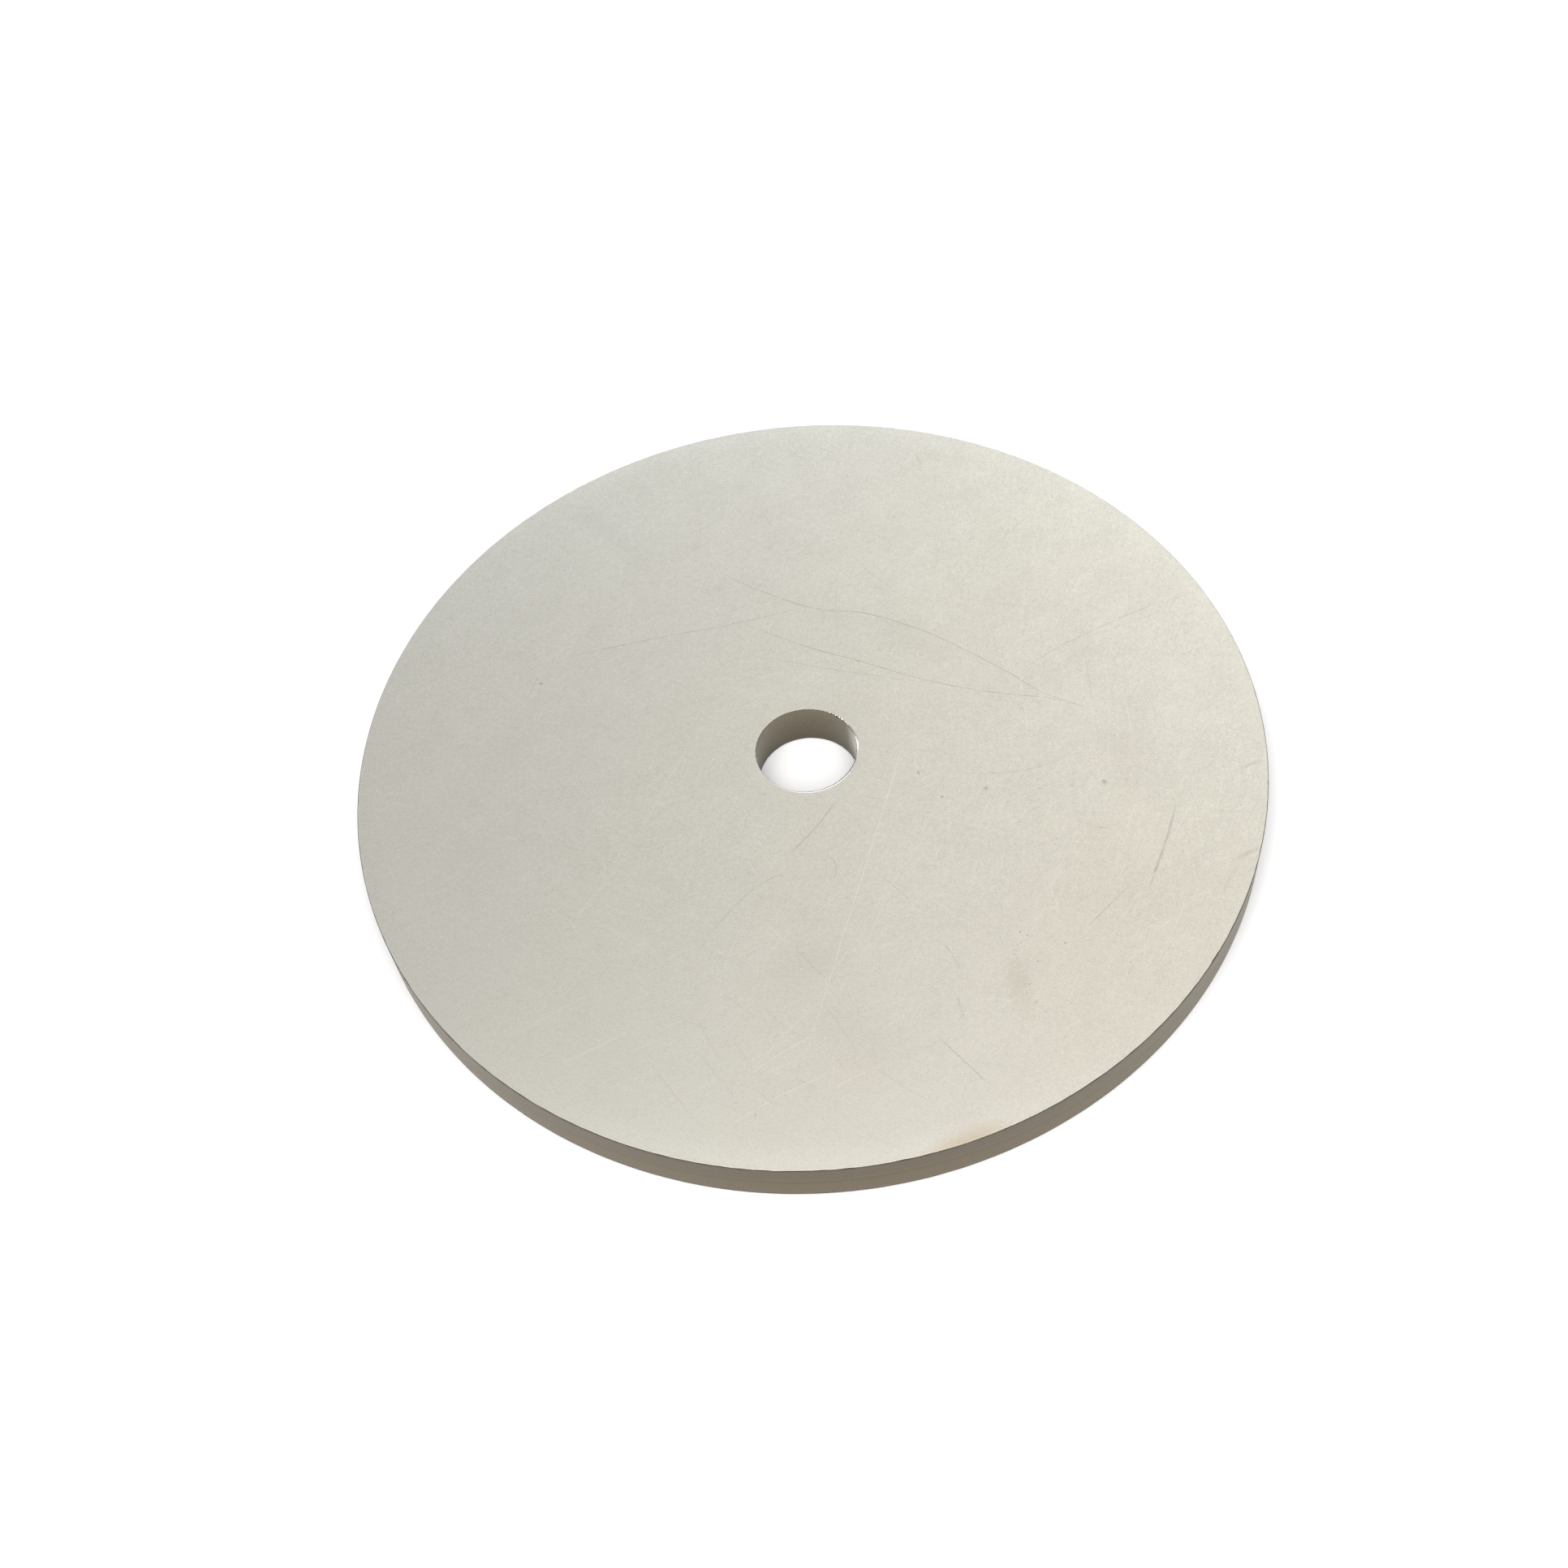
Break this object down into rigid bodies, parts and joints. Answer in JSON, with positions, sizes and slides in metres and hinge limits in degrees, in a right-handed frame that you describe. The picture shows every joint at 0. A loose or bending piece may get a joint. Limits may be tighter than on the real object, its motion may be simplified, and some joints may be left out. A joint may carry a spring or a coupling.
{
  "type": "lap disc",
  "caption": "Flat round aluminium lap disc with a plain arbor bore and satin-sanded faces, used as a rotating sanding or polishing base.",
  "frame": {"origin": "centre of the bore at the seat face, which is the underside the disc rests on", "axes": "+Z along the bore axis, from the seat face towards the working face; +X and +Y are any two radii, as the disc is round"},
  "size_m": [0.2286, 0.2286, 0.0127],
  "materials": {
    "satin_aluminium": "random-orbit sanded satin faces, turned rim and bore"
  },
  "bodies": {
    "root": {"lap_disc": "satin_aluminium"}
  },
  "joints": []
}
